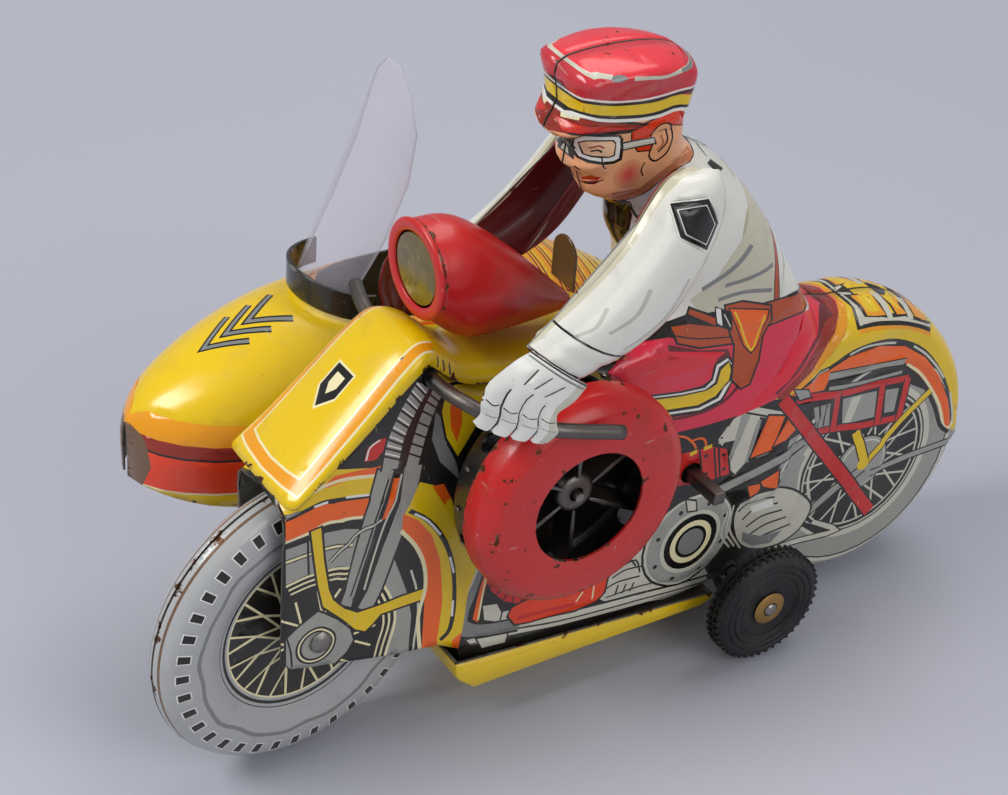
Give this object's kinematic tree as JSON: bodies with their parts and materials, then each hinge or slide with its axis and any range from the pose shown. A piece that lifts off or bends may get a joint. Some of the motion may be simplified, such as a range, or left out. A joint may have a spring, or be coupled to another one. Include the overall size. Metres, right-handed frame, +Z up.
{
  "type": "tin wind-up motorcycle toy with rider and sidecar",
  "caption": "Pressed tin clockwork motorcycle with seated rider, siren drum, headlamp, rubber drive wheels, and a sidecar with a tall clear windscreen.",
  "frame": {"origin": "on the ground under the middle of the object's box", "axes": "+Z up; the motorcycle drives towards -Y; +X is the rider's left, the siren side, and the sidecar is on the -X side"},
  "size_m": [0.1045, 0.2048, 0.1484],
  "materials": {
    "printed_tin": "glossy printed tinplate",
    "yellow_enamel": "glossy",
    "red_enamel": "glossy, worn at edges",
    "black_enamel": "satin",
    "silver_tyre_print": "glossy printed tinplate",
    "cream_print": "glossy printed tinplate",
    "bright_steel": "plated, dulled",
    "brass": "worn",
    "black_rubber": "matte",
    "clear_celluloid": "clear, faintly lavender",
    "amber_celluloid": "translucent olive yellow",
    "blued_spring_steel": "blued"
  },
  "bodies": {
    "frame": {"body_left_shell": "printed_tin", "body_right_shell": "printed_tin", "front_fender_hood": "yellow_enamel", "headlamp_shell": "red_enamel", "headlamp_bezel": "red_enamel", "headlamp_lens": "amber_celluloid", "tank_tab": "bright_steel", "left_arm": "cream_print", "right_arm": "cream_print", "handlebar": "bright_steel", "footboard_pan": "yellow_enamel", "siren_back_shell": "black_enamel", "siren_front_cover": "red_enamel", "front_axle": "bright_steel", "motor_left_plate": "bright_steel", "motor_right_plate": "bright_steel", "motor_pillar_1": "bright_steel", "motor_pillar_2": "bright_steel", "motor_pillar_3": "bright_steel", "motor_pillar_4": "bright_steel", "mainspring": "blued_spring_steel", "sidecar_shell": "yellow_enamel", "sidecar_floor": "bright_steel", "sidecar_seat": "yellow_enamel", "sidecar_front_strut": "bright_steel", "sidecar_rear_strut": "bright_steel", "sidecar_wheel_leg": "bright_steel", "sidecar_axle": "bright_steel", "windscreen_band": "black_enamel", "windscreen": "clear_celluloid"},
    "front_wheel": {"front_wheel_left_half": "silver_tyre_print", "front_wheel_right_half": "silver_tyre_print"},
    "drive_wheels": {"drive_axle": "bright_steel", "left_drive_wheel": "black_rubber", "right_drive_wheel": "black_rubber", "left_hub_washer": "brass", "right_hub_washer": "brass", "drive_pinion": "bright_steel"},
    "great_gear": {"great_wheel": "brass"},
    "winding_key_shaft": {"winding_arbor": "bright_steel", "click_spring": "blued_spring_steel"},
    "first_staff": {"first_pinion": "bright_steel", "first_wheel": "brass"},
    "second_staff": {"second_pinion": "bright_steel", "second_wheel": "brass"},
    "third_staff": {"third_pinion": "bright_steel", "third_wheel": "brass"},
    "siren_rotor": {"siren_shaft": "bright_steel", "siren_impeller": "bright_steel"},
    "sidecar_roller": {"sidecar_wheel": "black_rubber"}
  },
  "joints": [
    {"name": "drive_wheel_spin", "type": "hinge", "parent": "frame", "child": "drive_wheels", "pos_m": [0.01855, 0.0355, 0.0138], "axis": [1, 0, 0], "continuous": true},
    {"name": "front_wheel_spin", "type": "hinge", "parent": "frame", "child": "front_wheel", "pos_m": [0.01855, -0.0692, 0.0336], "axis": [0.9954, 0.0958, 0], "continuous": true},
    {"name": "great_gear_spin", "type": "hinge", "parent": "frame", "child": "great_gear", "pos_m": [0.01855, 0.0195, 0.0474], "axis": [1, 0, 0], "continuous": true},
    {"name": "winding_spin", "type": "hinge", "parent": "frame", "child": "winding_key_shaft", "pos_m": [0.01855, 0.0195, 0.0474], "axis": [1, 0, 0], "continuous": true},
    {"name": "first_staff_spin", "type": "hinge", "parent": "frame", "child": "first_staff", "pos_m": [0.01855, 0.03039, 0.03153], "axis": [1, 0, 0], "continuous": true},
    {"name": "second_staff_spin", "type": "hinge", "parent": "frame", "child": "second_staff", "pos_m": [0.01855, 0.00158, 0.05443], "axis": [1, 0, 0], "continuous": true},
    {"name": "third_staff_spin", "type": "hinge", "parent": "frame", "child": "third_staff", "pos_m": [0.01855, -0.00636, 0.0665], "axis": [1, 0, 0], "continuous": true},
    {"name": "siren_spin", "type": "hinge", "parent": "frame", "child": "siren_rotor", "pos_m": [0.01855, -0.0185, 0.0623], "axis": [1, 0, 0], "continuous": true},
    {"name": "sidecar_wheel_spin", "type": "hinge", "parent": "frame", "child": "sidecar_roller", "pos_m": [-0.04845, 0.0152, 0.0138], "axis": [1, 0, 0], "continuous": true}
  ],
  "couplings": [
    {"joint": "first_staff_spin", "follows": "drive_wheel_spin", "ratio": -0.27778},
    {"joint": "great_gear_spin", "follows": "drive_wheel_spin", "ratio": 0.073099},
    {"joint": "second_staff_spin", "follows": "drive_wheel_spin", "ratio": -0.27778},
    {"joint": "third_staff_spin", "follows": "drive_wheel_spin", "ratio": 0.72222},
    {"joint": "siren_spin", "follows": "drive_wheel_spin", "ratio": -2.1667}
  ]
}
